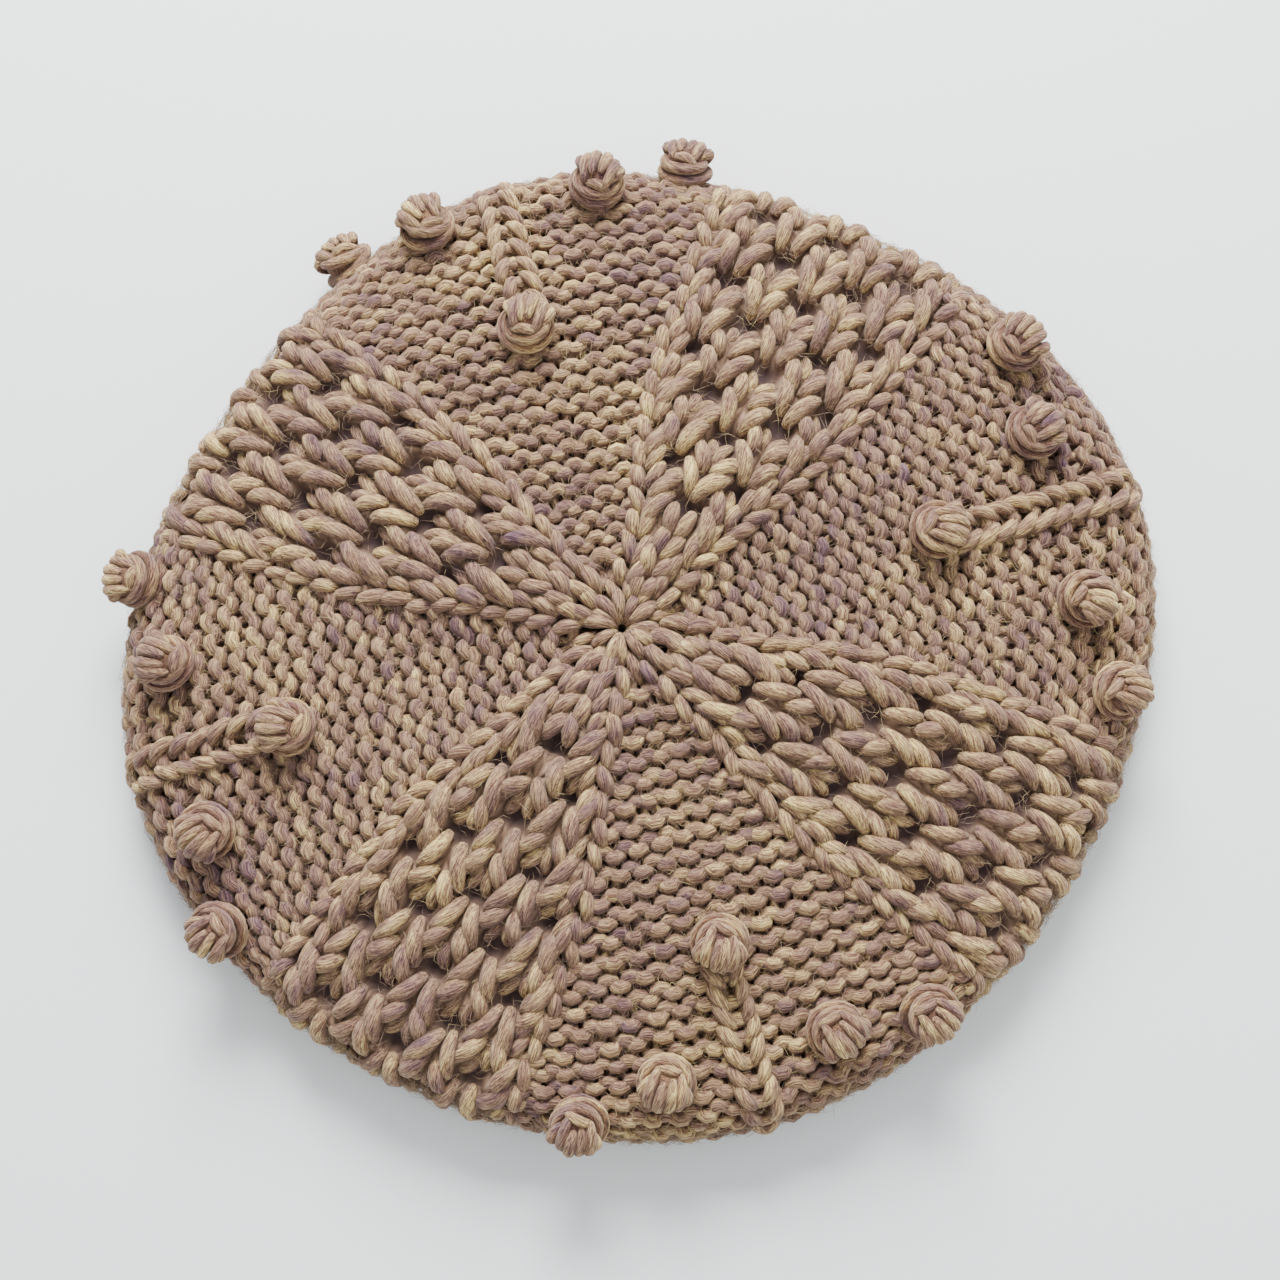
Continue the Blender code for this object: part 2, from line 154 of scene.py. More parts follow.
def under_cable(out, angle):
    """1 where a honeycomb panel lies over the cloth, 0 where it doesn't, with a soft edge."""
    sector = ROUND_TURN / PANELS
    aside = (angle - HONEYCOMB_AXIS + sector / 2) % sector - sector / 2
    past_edge = abs(aside) * radius_at(out, angle) - panel_half_width(out)
    return (1 - rounded(*RAISED_EDGE, past_edge)) * rounded(*RAISED_START, out)


def unit(vectors):
    """Vectors at length 1."""
    return vectors / np.maximum(np.linalg.norm(vectors, axis=-1, keepdims=True), 1e-12)


def tubes(lines, above, radii, sides=YARN_SIDES):
    """Closed round tubes carried along lines of points, as one set of points and faces.

    lines and above are (count, points, 3), radii is (count, points). At each point the section is
    an ellipse across the line, with its short way along above. strand holds millimetres along the
    yarn and the place in its section, turned with the fibres, so that a pattern follows the spin,
    and last how high in the section a point is, from -1 to 1.
    Yarn that would go through the table is pressed up to rest on it.
    """
    count, length = lines.shape[:2]
    rests = np.maximum(lines[..., 2], YARN_FLAT * radii)
    lines = np.concatenate([lines[..., :2], rests[..., None]], axis=-1)
    ahead = unit(np.gradient(lines, axis=1))
    side = unit(np.cross(ahead, above))
    up = np.cross(side, ahead)
    steps = np.linalg.norm(np.diff(lines, axis=1), axis=-1)
    along = np.concatenate([np.zeros((count, 1)), np.cumsum(steps, axis=1)], axis=1)
    along = along + random.uniform(0, SKEIN, (count, 1))
    turn = np.arange(sides) * ROUND_TURN / sides
    section = np.cos(turn)[:, None] * side[:, :, None]
    section = section + YARN_FLAT * np.sin(turn)[:, None] * up[:, :, None]
    rings = lines[:, :, None] + radii[:, :, None, None] * section
    outwards = np.stack([-ahead[:, 0], ahead[:, -1]], 1)
    ends = lines[:, [0, -1]] + outwards * radii[:, [0, -1], None] * END_REACH
    spin = turn + FIBRE_TURN * along[:, :, None] / MM
    thick = radii[:, :, None] / MM
    far = np.broadcast_to(along[:, :, None] / MM, spin.shape)
    rise = np.broadcast_to(np.sin(turn), spin.shape)
    strand = np.stack([far, thick * np.cos(spin), thick * np.sin(spin), rise], -1)
    end_strand = np.zeros((count, 2, 4))
    end_strand[..., 0] = along[:, [0, -1]] / MM
    return closed_rings(rings, ends, strand, end_strand)


def closed_rings(rings, ends, strand, end_strand):
    """Points, strand values and faces of skins over rings, closed by a fan to a point at each end.

    rings is (count, rings, sides, 3) and ends is (count, 2, 3).
    """
    count, length, sides = rings.shape[:3]
    per = length * sides + 2
    points = np.concatenate([rings.reshape(count, -1, 3), ends], axis=1).reshape(-1, 3)
    values = strand.shape[-1]
    strands = np.concatenate([strand.reshape(count, -1, values), end_strand], axis=1)
    row, step = np.meshgrid(np.arange(length - 1), np.arange(sides), indexing="ij")
    here, beside = row * sides + step, row * sides + (step + 1) % sides
    quads = np.stack([here, here + sides, beside + sides, beside], -1).reshape(-1, 4)
    first, second = np.arange(sides), (np.arange(sides) + 1) % sides
    last = (length - 1) * sides
    caps = np.concatenate(
        [
            np.stack([np.full(sides, per - 2), first, second], -1),
            np.stack([np.full(sides, per - 1), last + second, last + first], -1),
        ]
    )
    offset = np.arange(count)[:, None, None] * per
    quads, caps = (quads + offset).reshape(-1, 4), (caps + offset).reshape(-1, 3)
    return points, strands.reshape(-1, values), quads, caps


def piece(name, parts, finish, nodes=()):
    """One mesh of these skins, riding on the hat and standing for these nodes.

    strand goes to the materials, and so does rise, which is 1 all over a part that has none.
    """
    starts = np.cumsum([0] + [len(part[0]) for part in parts])
    points = np.concatenate([part[0] for part in parts])
    strands = np.concatenate([part[1] for part in parts])
    quads = np.concatenate([part[2] + start for part, start in zip(parts, starts)])
    caps = np.concatenate([part[3] + start for part, start in zip(parts, starts)])
    mesh = bpy.data.meshes.new(name)
    mesh.vertices.add(len(points))
    mesh.vertices.foreach_set("co", points.astype(np.float32).ravel())
    corners = np.concatenate([quads.ravel(), caps.ravel()])
    mesh.loops.add(len(corners))
    mesh.loops.foreach_set("vertex_index", corners.astype(np.int32))
    sizes = np.concatenate([np.full(len(quads), 4), np.full(len(caps), 3)])
    mesh.polygons.add(len(sizes))
    mesh.polygons.foreach_set("loop_start", (np.cumsum(sizes) - sizes).astype(np.int32))
    mesh.update(calc_edges=True)
    mesh.shade_smooth()
    mesh.attributes.new("strand", "FLOAT_VECTOR", "POINT").data.foreach_set(
        "vector", strands[:, :3].astype(np.float32).ravel()
    )
    rise = strands[:, 3] if strands.shape[1] > 3 else np.ones(len(strands))
    mesh.attributes.new("rise", "FLOAT", "POINT").data.foreach_set("value", rise.astype(np.float32))
    mesh.materials.append(finish)
    made = bpy.data.objects.new(name, mesh)
    bpy.context.scene.collection.objects.link(made)
    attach(made, "root")
    if nodes:
        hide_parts(*nodes)


# Materials

FIBRE_SCALE = (0.35, 3.4, 3.4)  # along the yarn and across it, in each millimetre
DYE_RUN_SCALE = (0.09, 0.2, 0.2)
DYE_DRIFT_SCALE = (26.0, 26.0, 26.0)  # across the hat, in each metre
DRIFT_SHARE = 0.28
FIBRE_SHARE = 0.34
WOOL_DYES = ((0.36, "644c5a"), (0.45, "876b5c"), (0.53, "9f8565"), (0.63, "d1ba7d"))
STREAK_COLOURS = ((0.35, "846c72"), (0.47, "cdc0b9"), (0.6, "ffffff"))
FLANK_SHADE_COLOURS = ((0.0, "b8a4ac"), (0.35, "ded2d6"), (0.8, "ffffff"))  # painted shade, darker and more mauve low on a strand's flanks, by height in the section
RELIEF_SLANT = 1.3  # how steeply a small V stitch's legs run
RELIEF_DEPTH = 1.2 * MM
# painted shade at the bottom of a cable's holes, and how much of it is mixed in
HOLE_SHADE_COLOUR = "36292c"
HOLE_SHADE_SHARE = 0.9


def linear(hexed):
    """A colour written as sRGB hex, as linear light."""
    parts = [int(hexed[i : i + 2], 16) / 255 for i in (0, 2, 4)]
    return tuple(p / 12.92 if p <= 0.04045 else ((p + 0.055) / 1.055) ** 2.4 for p in parts) + (1.0,)


def node(tree, kind, settings=(), **links):
    """Add a node with its settings, and link or set its inputs by name."""
    made = tree.nodes.new(kind)
    for key, value in dict(settings).items():
        setattr(made, key, value)
    for key, value in links.items():
        socket = made.inputs[int(key[1:]) if key[1:].isdigit() else key.replace("_", " ")]
        if isinstance(value, bpy.types.NodeSocket):
            tree.links.new(value, socket)
        else:
            socket.default_value = value
    return made


def ramp(tree, factor, stops):
    """A colour ramp over these places and sRGB colours."""
    made = node(tree, "ShaderNodeValToRGB", i0=factor)
    while len(made.color_ramp.elements) < len(stops):
        made.color_ramp.elements.new(0.5)
    for element, (place, colour) in zip(made.color_ramp.elements, stops):
        element.position = place
        element.color = linear(colour)
    return made.outputs["Color"]


def scaled_noise(tree, at, scale, detail=2.0, rough=0.5):
    """Noise on a vector stretched by scale, from 0 to 1 round a half."""
    stretched = node(tree, "ShaderNodeVectorMath", {"operation": "MULTIPLY"}, i0=at, i1=scale)
    at = stretched.outputs[0]
    return node(tree, "ShaderNodeTexNoise", i0=at, Scale=1.0, Detail=detail, Roughness=rough).outputs[0]


def blend(tree, share, first, second):
    """A number between two others."""
    return node(tree, "ShaderNodeMix", {"data_type": "FLOAT"}, i0=share, i2=first, i3=second).outputs[0]


def multiplied(tree, first, second):
    """Two colours multiplied."""
    settings = {"data_type": "RGBA", "blend_type": "MULTIPLY"}
    return node(tree, "ShaderNodeMix", settings, i0=1.0, i6=first, i7=second).outputs[2]


def new_material(name):
    """A material, its node tree and its shader."""
    made = bpy.data.materials.new(name)
    made.use_nodes = True
    return made, made.node_tree, made.node_tree.nodes["Principled BSDF"]


def settle(shader, **values):
    """Set a shader's inputs by name."""
    for key, value in values.items():
        shader.inputs[key.replace("_", " ")].default_value = value


def hand_dyed_wool(name, shift=0.0):
    """Softly spun hand-dyed wool: straw on mauve in runs along the yarn, with fine fibre streaks.

    Dye takes in runs of 10 to 20 mm and drifts over 40 mm across the hat. Fibres lie about a half
    millimetre apart and several long. Low on a strand's flanks painted shade makes it darker and
    more mauve. The surface is matt, with the soft sheen of loose fibre. shift moves it towards straw.
    """
    made, tree, shader = new_material(name)
    strand = node(tree, "ShaderNodeAttribute", {"attribute_name": "strand"}).outputs["Vector"]
    place = node(tree, "ShaderNodeTexCoord").outputs["Object"]
    fibre = scaled_noise(tree, strand, FIBRE_SCALE, 3.0, 0.65)
    run = scaled_noise(tree, strand, DYE_RUN_SCALE)
    drift = scaled_noise(tree, place, DYE_DRIFT_SCALE)
    dye = blend(tree, FIBRE_SHARE, blend(tree, DRIFT_SHARE, run, drift), fibre)
    dye = node(tree, "ShaderNodeMath", {"operation": "ADD"}, i0=dye, i1=shift).outputs[0]
    rise = node(tree, "ShaderNodeAttribute", {"attribute_name": "rise"}).outputs["Fac"]
    streaked = multiplied(tree, ramp(tree, dye, WOOL_DYES), ramp(tree, fibre, STREAK_COLOURS))
    # painted shade: the colour darkens towards mauve low on each strand's flanks
    colour = multiplied(tree, streaked, ramp(tree, rise, FLANK_SHADE_COLOURS))
    tree.links.new(colour, shader.inputs["Base Color"])
    settle(shader, Roughness=0.88, Specular_IOR_Level=0.25)
    settle(shader, Subsurface_Weight=0.25, Subsurface_Radius=(1.0, 0.7, 0.5), Subsurface_Scale=1.5 * MM)
    settle(shader, Sheen_Weight=0.3, Sheen_Roughness=0.5, Sheen_Tint=linear("d8c4ae"))
    bump = node(tree, "ShaderNodeBump", Strength=0.8, Distance=0.35 * MM, Height=fibre)
    tree.links.new(bump.outputs["Normal"], shader.inputs["Normal"])
    return made


def knit_lining(name, shade_to_lit):
    """The smooth side of the knitting: matt wool with rows of small V stitches as relief.

    The strand attribute counts wales and courses. Each wale's two halves slant, and the height
    is a rounded ridge for each leg. The colour is painted shade: browns darker than the yarn's own
    dye, darkest in the valleys of the relief and lightest on its ridges. Its third number is 1 at
    the bottom of a cable's hole, where little light reaches and a dark plum shade is painted, and
    0 elsewhere.
    """
    made, tree, shader = new_material(name)
    strand = node(tree, "ShaderNodeAttribute", {"attribute_name": "strand"}).outputs["Vector"]
    parts = node(tree, "ShaderNodeSeparateXYZ", i0=strand)

    def calc(operation, *values):
        inputs = {f"i{place}": value for place, value in enumerate(values)}
        return node(tree, "ShaderNodeMath", {"operation": operation}, **inputs).outputs[0]

    aside = calc("ABSOLUTE", calc("SUBTRACT", calc("FRACT", parts.outputs[0]), 0.5))
    slant = calc("SUBTRACT", parts.outputs[1], calc("MULTIPLY", aside, RELIEF_SLANT))
    ridge = calc("ABSOLUTE", calc("SINE", calc("MULTIPLY", slant, math.pi)))
    leg = calc("SINE", calc("MULTIPLY", aside, ROUND_TURN))
    height = calc("MULTIPLY", ridge, leg)
    # painted shade: darker in the relief's valleys, lighter on its ridges
    lit = ramp(tree, height, tuple(zip((0.0, 0.5, 1.0), shade_to_lit)))
    shade = calc("MULTIPLY", parts.outputs[2], HOLE_SHADE_SHARE)
    # painted shade: a dark plum mixed in at the bottom of a cable's holes
    colour = node(tree, "ShaderNodeMix", {"data_type": "RGBA"}, i0=shade, i6=lit, i7=linear(HOLE_SHADE_COLOUR))
    tree.links.new(colour.outputs[2], shader.inputs["Base Color"])
    settle(shader, Roughness=0.9, Specular_IOR_Level=0.2)
    relief = calc("MULTIPLY", height, calc("SUBTRACT", 1.0, parts.outputs[2]))
    bump = node(tree, "ShaderNodeBump", Strength=1.0, Distance=RELIEF_DEPTH, Height=relief)
    tree.links.new(bump.outputs["Normal"], shader.inputs["Normal"])
    return made


# Plain knitting, purl side out

BEND_FROM = 85 * MM  # where the straight courses of a plain panel start to follow the rim
BEND_TO = 148 * MM
STRAIGHT_CURVE = 0.2
SECTOR_STITCHES = 28
WALE_RADIUS = SECTOR_STITCHES / 2 * STITCH / (math.pi / PANELS)
POINTS_A_STITCH = 11
CROWDING = 0.24  # how far points are drawn to a loop's head and foot, where the yarn turns
LOOP_REACH = 3.5 * MM  # half a loop's height
LOOP_BULGE = 1.5 * MM  # how far a loop leans out past its wale
LOOP_DEPTH = 1.3 * MM
HEAD_RISE = 0.3 * MM
MEAN_FULLNESS = 1.08  # the yarn's thickness as a share of YARN, and what the turns and heads add
TURN_FULLNESS = 0.22
HEAD_FULLNESS = 0.04
UNEVEN_ACROSS = 0.35 * MM
UNEVEN_UP = 0.3 * MM
UNEVEN_LIFT = 0.22 * MM
UNEVEN_FULLNESS = 0.07
REACH_STEPS = 400
HIDDEN_END_DEG = HONEYCOMB_END_DEG - 14  # past this the plain courses run on under a honeycomb's end
SHORTEST_REACH = 0.8 * STITCH
TUCKED_UNDER = 2.5 * MM  # what a course runs on below a honeycomb's edge
UNSTRETCHED = 95 * MM
FIRST_COURSE = 3
PLAIN_COURSES = 33
LAST_COURSE = PLAIN_COURSES * COURSE


def edge_length(angle):
    """Distance out along the cloth to the band's edge."""
    centre, tilt, start = shoulder(angle)
    toward = np.stack([np.cos(angle), np.sin(angle)], -1)
    lean = toward @ MIDDLE[:2]
    to_edge = np.sqrt(lean * lean - MIDDLE[:2] @ MIDDLE[:2] + BAND_OUTER_RADIUS**2) - lean
    return start + RIM_RADIUS * (math.pi - tilt) + centre - to_edge


def bent(across, up, axis):
    """Where a stitch of a plain panel lies: its distance out along the cloth and its angle.

    Near the middle courses run straight across the panel and wales run parallel to its axis. Past
    the shoulder courses follow the rim and wales run out to it, and both fit what cloth there is.
    """
    curve = STRAIGHT_CURVE + (1 - STRAIGHT_CURVE) * rounded(BEND_FROM, BEND_TO, up)
    straight = np.hypot(across, up)
    out = up + (1 - curve) * (straight - up)
    aside = (1 - curve) * np.arctan2(across, up) + curve * across / np.maximum(WALE_RADIUS, up)
    length = edge_length(axis + aside)
    stretch = (length - UNSTRETCHED) / (LAST_COURSE - UNSTRETCHED)
    return np.where(out > UNSTRETCHED, UNSTRETCHED + (out - UNSTRETCHED) * stretch, out), aside


def sector_half(up):
    """How far across its panel a course would run to meet the next panel's."""
    return math.pi / PANELS * max(WALE_RADIUS, up)


def plain_reach(up, axis):
    """How far across its panel a course runs before a honeycomb covers it."""
    across = np.linspace(0, sector_half(up), REACH_STEPS)
    out, aside = bent(across, np.full_like(across, up), axis)
    edge = math.pi / PANELS - panel_half_width(out) / np.maximum(radius_at(out, axis + aside), MM)
    past_end = out > rim_distance(HIDDEN_END_DEG, axis + math.pi / PANELS)
    open_to = np.where(past_end, math.pi / PANELS + 1, edge)
    hidden = aside > open_to
    return across[np.argmax(hidden)] if hidden.any() else across[-1]


def uneven(at, spread):
    """A hand knitter's unevenness: random values at whole steps, drawn smoothly between."""
    low, high = math.floor(at.min()) - 1, math.ceil(at.max()) + 2
    values = random.normal(0, spread, high - low)
    step = np.floor(at).astype(int)
    share = rounded(0, 1, at - step)
    return values[step - low] * (1 - share) + values[step + 1 - low] * share


def plain_course(up, reach, axis):
    """One course as a single yarn of loops.

    Across it is the wale's place plus bulge times the sine of twice the loop's angle, up it is
    reach times the cosine of the angle, and out of the cloth it is depth times the cosine of
    twice the angle, so that heads and feet stand out and legs lie behind. Heads, where the cosine
    is 1, are fuller than feet and stand a little higher.
    """
    steps = math.ceil(2 * reach / STITCH * POINTS_A_STITCH)
    loop = np.linspace(-reach, reach, steps + 1) / STITCH * ROUND_TURN
    loop = loop - CROWDING * np.sin(2 * loop)
    half = loop / math.pi
    across = STITCH * loop / ROUND_TURN + LOOP_BULGE * np.sin(2 * loop) + uneven(half, UNEVEN_ACROSS)
    height = up + LOOP_REACH * np.cos(loop) + uneven(half, UNEVEN_UP)
    lift = CLOTH_DEPTH + LOOP_DEPTH * np.cos(2 * loop) + HEAD_RISE * np.cos(loop)
    lift = lift + uneven(half, UNEVEN_LIFT)
    out, aside = bent(across, height, axis)
    line, above = cloth(out, axis + aside, lift)
    full = MEAN_FULLNESS + TURN_FULLNESS * np.cos(2 * loop) + HEAD_FULLNESS * np.cos(loop)
    thick = YARN * (full + uneven(half, UNEVEN_FULLNESS))
    return tubes(line[None], above[None], thick[None], YARN_SIDES if up < BEND_TO else HIDDEN_SIDES)


def plain_panel(axis):
    """The plain courses of one panel, from the gathered middle to the band."""
    made = []
    for course in range(FIRST_COURSE, PLAIN_COURSES):
        up = course * COURSE
        reach = plain_reach(up, axis)
        if reach > SHORTEST_REACH:
            made.append(plain_course(up, min(reach + TUCKED_UNDER, sector_half(up)), axis))
    return made


# Knit stitches seen as legs of yarn

RIM_FLAT_DEG = 75  # where on the rim the stitches are drawn flattest
RIM_FLAT_OVER = 12 * MM
RIM_FLAT_SHARE = 0.45
LEG_POINTS = 9
LEG_TIP = 0.6  # a leg's thickness at its ends, as a share of its middle's
LEG_BEND = 0.15 * MM  # random spreads of a leg's bend and lift
LEG_SIZE = 0.05


def legs(foot, head, axis, lifts, radius, bow, stray):
    """Legs of knit stitches as tapered tubes, each from its foot to its head.

    foot and head are rows of (across, out) from a panel's axis, moved at random by stray. lifts
    are the lift at the foot, the arch between and the lift at the head. The arch and the bow to
    one side are sines of the way along, and the arch flattens where the rim draws the cloth tight.
    """
    way = np.linspace(0, 1, LEG_POINTS)
    hump = np.sin(math.pi * way)
    count = len(foot)
    foot = foot + random.normal(0, stray, (count, 2))
    head = head + random.normal(0, stray, (count, 2))
    route = foot[:, None] + (head - foot)[:, None] * way[:, None]
    bend = bow + random.normal(0, LEG_BEND, count)
    across = route[..., 0] + bend[:, None] * hump
    low, arch, high = lifts
    shoulder_out = rim_distance(RIM_FLAT_DEG, axis)
    drawn = rounded(shoulder_out - RIM_FLAT_OVER, shoulder_out, route[..., 1])
    arch = arch * (1 - RIM_FLAT_SHARE * drawn)
    lift = low + (high - low) * way + arch * hump**0.8 + random.normal(0, LEG_BEND, (count, 1))
    line, above = beside_axis(across, route[..., 1], axis, lift)
    size = random.normal(1, LEG_SIZE, (count, 1)) * radius
    return tubes(line, above, size * (LEG_TIP + (1 - LEG_TIP) * hump**0.65))


# Honeycomb cable

COLUMN = 10.6 * MM  # from one column of V stitches to the next, half a cell
MOST_COLUMNS = 4
EDGE_ROOM = 3.6 * MM  # what the wale along each edge takes
EDGE_INSET = 2.6 * MM
EDGE_PITCH = 6.4 * MM
WALE_LONG = 7.8 * MM
WALE_SPREAD = (0.7 * MM, 3.1 * MM)  # from the wale's middle to a leg's foot and to its head
WALE_BOW = 0.35 * MM
WALE_STRAY = 0.5 * MM
EDGE_LIFTS = (-1.0 * MM, 2.8 * MM, -1.2 * MM)
EDGE_WALE_RADIUS = 1.95 * MM
CABLE_FIRST = 27 * MM
CELL_LEVEL = 10.8 * MM  # half a cell's length, before a whole number of them is fitted
CABLE_BOW = 0.5 * MM
CABLE_STRAY = 0.6 * MM

# The V stitches between a column's holes: where their legs run, as shares of the way from one
# hole to the next, and in millimetres from the column's middle at the foot and at the head. The
# third is the cloth behind, seen sunk in the lower half of a hole
CABLE_STITCHES = (
    {"from": 0.15, "to": 0.61, "foot": 1.8, "head": 5.4, "lifts": (-0.4, 3.0, 0.3), "thick": 2.25},
    {"from": 0.50, "to": 0.86, "foot": 1.6, "head": 6.2, "lifts": (0.6, 2.5, -0.4), "thick": 2.15},
    {"from": 0.66, "to": 0.97, "foot": 1.2, "head": 3.2, "lifts": (-0.3, 0.8, -2.0), "thick": 2.0},
)
HOLE_HALF_WIDE = 4.5 * MM
HOLE_HALF_LONG = 3.6 * MM
BACK_LIFT = 0.9 * MM  # the cloth between the holes, behind the legs
BACK_FLOOR = -2.7 * MM  # and the bottom of a hole
MIDDLE_WALE_FROM = 8 * MM
MIDDLE_WALE_TO = 30 * MM  # before this no hole is open, and one wale runs between the edge wales
MIDDLE_WALE_LIFTS = (-0.8 * MM, 2.8 * MM, -0.8 * MM)
MIDDLE_WALE_RADIUS = 2.1 * MM
BACK_ROWS = 104
BACK_STEPS = 46
BACK_END_DEG = HONEYCOMB_END_DEG - 6
BACK_INSET = 2 * MM
BACK_THICKNESS = 0.4 * MM


def cable_levels(axis):
    """How many half-cells a panel has and how far apart they lie, as the frame has them."""
    end = rim_distance(HONEYCOMB_END_DEG, axis)
    levels = round((end - HONEYCOMB_START) / CELL_LEVEL)
    return levels, (end - HONEYCOMB_START) / levels


def cable_holes(levels, step):
    """Every hole's place across and along a panel: each column's lie half way past its neighbour's."""
    level, column = np.meshgrid(np.arange(-2, levels + 1), np.arange(-MOST_COLUMNS, MOST_COLUMNS + 1))
    holes = (level + column) % 2 == 0
    return column[holes] * COLUMN, HONEYCOMB_START + level[holes] * step


def cable_front(axis, levels, step):
    """The V stitches between the holes of each column, crowded inwards along the panel's edges."""
    middle, hole = cable_holes(levels, step)
    last = HONEYCOMB_START + levels * step
    made = []
    for stitch in CABLE_STITCHES:
        start, end = hole + 2 * step * stitch["from"], hole + 2 * step * stitch["to"]
        room = panel_half_width((start + end) / 2) - EDGE_ROOM
        for hand in (-1, 1):
            foot, head = middle + hand * stitch["foot"] * MM, middle + hand * stitch["head"] * MM
            inside = (start > CABLE_FIRST) & (end < last + 4 * MM)
            inside = inside & (np.minimum(abs(foot), abs(head)) < room)
            foot = np.stack([np.clip(foot, -room, room), start], -1)[inside]
            head = np.stack([np.clip(head, -room, room), end], -1)[inside]
            lifts = [lift * MM for lift in stitch["lifts"]]
            thick = stitch["thick"] * MM
            made.append(legs(foot, head, axis, lifts, thick, -hand * CABLE_BOW, CABLE_STRAY))
    return made


def wale(axis, out, middle, head, lifts, radius):
    """A wale of V stitches: the left and right legs round each middle, out to its head's place."""
    made = []
    for hand in (-1, 1):
        feet = np.stack([middle + hand * WALE_SPREAD[0], out], -1)
        heads = np.stack([head + hand * WALE_SPREAD[1], out + WALE_LONG], -1)
        made.append(legs(feet, heads, axis, lifts, radius, hand * WALE_BOW, WALE_STRAY))
    return made


def cable_wales(axis, end):
    """The wales along both edges of a honeycomb panel, and the one between them near the middle."""
    out = np.arange(HONEYCOMB_START - 3 * MM, end - 5 * MM, EDGE_PITCH)
    made = []
    for hand in (-1, 1):
        middle = hand * (panel_half_width(out) - EDGE_INSET)
        head = hand * (panel_half_width(out + WALE_LONG) - EDGE_INSET)
        made += wale(axis, out, middle, head, EDGE_LIFTS, EDGE_WALE_RADIUS)
    out = np.arange(MIDDLE_WALE_FROM, MIDDLE_WALE_TO, EDGE_PITCH)
    return made + wale(axis, out, 0 * out, 0 * out, MIDDLE_WALE_LIFTS, MIDDLE_WALE_RADIUS)


def cable_back(axis):
    """The cloth behind a honeycomb's stitches: raised between its holes and sunk at each one.

    A pit is exp(-(x^4 + y^4)) deep, x and y being the way from the hole's middle as shares of its
    half-width and half-length, and the cloth sinks to the same floor along its own edges.
    """
    levels, step = cable_levels(axis)
    end = rim_distance(BACK_END_DEG, axis)
    out = np.linspace(HONEYCOMB_START, end, BACK_ROWS)[:, None]
    half = panel_half_width(out) - BACK_INSET
    across = np.linspace(-1, 1, BACK_STEPS) * half
    hole_across, hole_out = cable_holes(levels, step)
    room = panel_half_width(hole_out) - EDGE_ROOM - 1.5 * MM
    is_open = (hole_out > CABLE_FIRST) & (abs(hole_across) < room)
    beside = abs(across[..., None] - hole_across[is_open]) / HOLE_HALF_WIDE
    ahead = abs(out[..., None] - hole_out[is_open]) / HOLE_HALF_LONG
    pit = np.exp(-(beside**4) - ahead**4).max(axis=-1)
    rim = rounded(0, 4 * MM, half - abs(across)) * rounded(0, 5 * MM, end - out)
    lift = BACK_FLOOR + (BACK_LIFT - BACK_FLOOR) * (1 - pit) * rim
    top, _ = beside_axis(across, out, axis, lift)
    bottom, _ = beside_axis(across, out, axis, BACK_FLOOR - BACK_THICKNESS)
    rings = np.concatenate([top, bottom[:, ::-1]], axis=1)[None]
    # the third number marks the pits, where the material paints a dark plum shade
    strand = np.stack([across / STITCH, out / COURSE + 0 * across, pit], -1)
    strand = np.concatenate([strand, strand[:, ::-1]], axis=1)[None]
    ends = rings[:, [0, -1]].mean(axis=2)
    return closed_rings(rings, ends, strand, 0 * ends)


def honeycomb(axis):
    """One honeycomb panel: its V stitches and its wales."""
    levels, step = cable_levels(axis)
    end = rim_distance(HONEYCOMB_END_DEG, axis)
    return cable_front(axis, levels, step) + cable_wales(axis, end)


# Bobbles and their stems

# Each plain panel's bobbles, as the frame has them: distance out along the cloth and degrees from
# the panel's axis. turn is how far a bobble's strands are turned from straight out
BOBBLES = (
    {"name": "stem", "out": 0.0, "aside": 0.8, "turn": -25},
    {"name": "inner_left", "out": 0.892, "aside": 11.2, "turn": 14},
    {"name": "inner_right", "out": 0.892, "aside": -11.2, "turn": -18},
    {"name": "outer_left", "out": 0.957, "aside": 21.7, "turn": 8},
    {"name": "outer_right", "out": 0.957, "aside": -21.7, "turn": -6},
)
PANEL_ROWS = (
    {"stem_out": 0.643, "more_out": 0.010, "more_aside": -1.6},
    {"stem_out": 0.630, "more_out": 0.013, "more_aside": -2.0},
    {"stem_out": 0.669, "more_out": -0.009, "more_aside": -0.9},
    {"stem_out": 0.632, "more_out": -0.027, "more_aside": 0.5},
)
BOBBLE_RADIUS = 8.1 * MM
BOBBLE_HEIGHT = 12.5 * MM
STEM_END_DEG = 82
STEM_PITCH = 5.2 * MM
STEM_LONG = 7.0 * MM
STEM_RADIUS = 1.8 * MM
STEM_LIFTS = (0.2 * MM, 2.6 * MM, -0.3 * MM)
STEM_ROPES = ((-1, 4.9 * MM, 0.9 * MM), (1, 4.2 * MM, 1.3 * MM))  # hand, foot and head from the middle
STEM_BOW = 0.5 * MM
STEM_STRAY = 0.3 * MM

